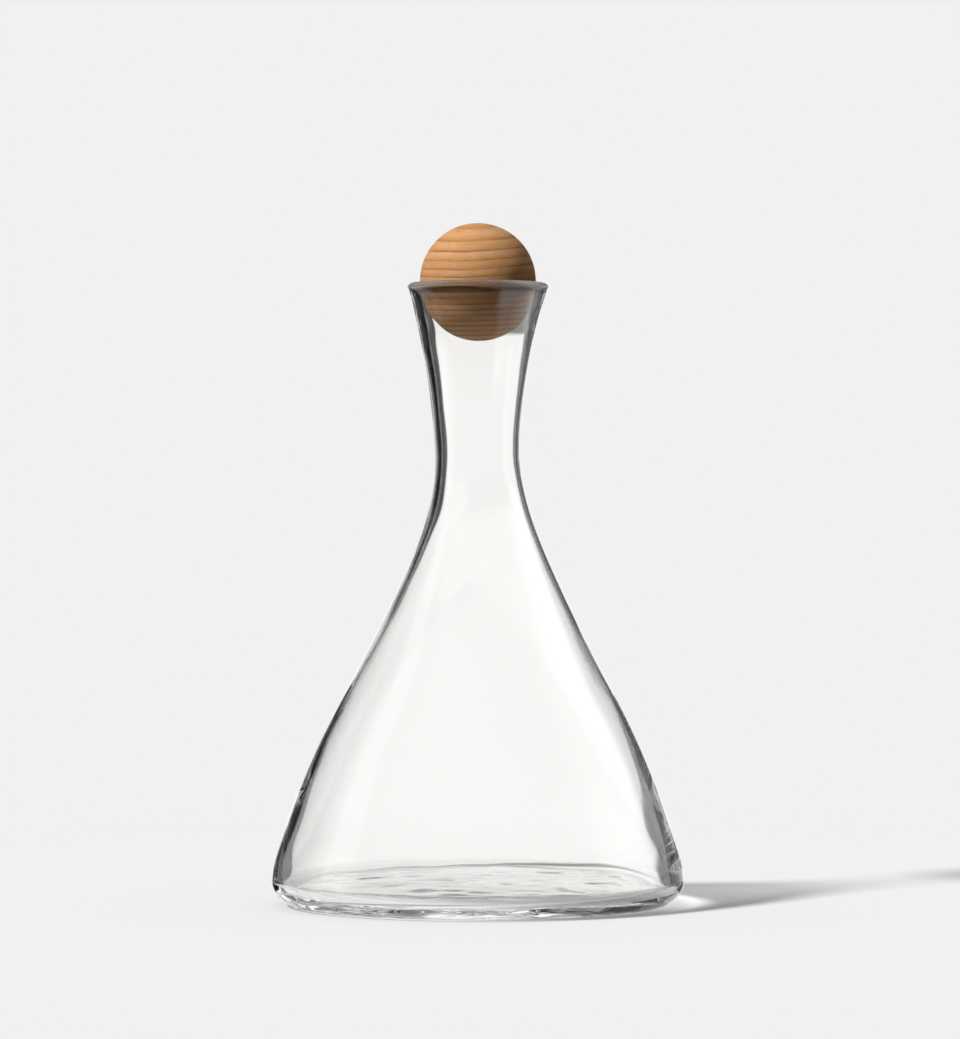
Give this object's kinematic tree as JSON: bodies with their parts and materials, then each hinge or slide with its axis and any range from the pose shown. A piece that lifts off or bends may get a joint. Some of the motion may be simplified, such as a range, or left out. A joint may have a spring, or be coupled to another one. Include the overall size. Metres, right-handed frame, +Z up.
{
  "type": "water carafe",
  "caption": "Clear blown-glass water carafe with a broad conical body, slim neck and flared mouth, closed by a plain turned wooden ball that lifts off.",
  "frame": {"origin": "on the table, at the middle of the flat ring that the carafe stands on", "axes": "+Z up the axis of the bottle, through the mouth; X and Y lie on the table and are alike, because the object is round"},
  "size_m": [0.1776, 0.1776, 0.2937],
  "materials": {
    "clear_glass": "clear, fire-polished",
    "turned_wood": "turned and sanded, bare"
  },
  "bodies": {
    "carafe": {"glass_carafe": "clear_glass"},
    "stopper": {"ball_stopper": "turned_wood"}
  },
  "joints": [
    {"name": "stopper_lift", "type": "slide", "parent": "carafe", "child": "stopper", "axis": [0, 0, 1], "range_m": [0, 0.08]}
  ]
}
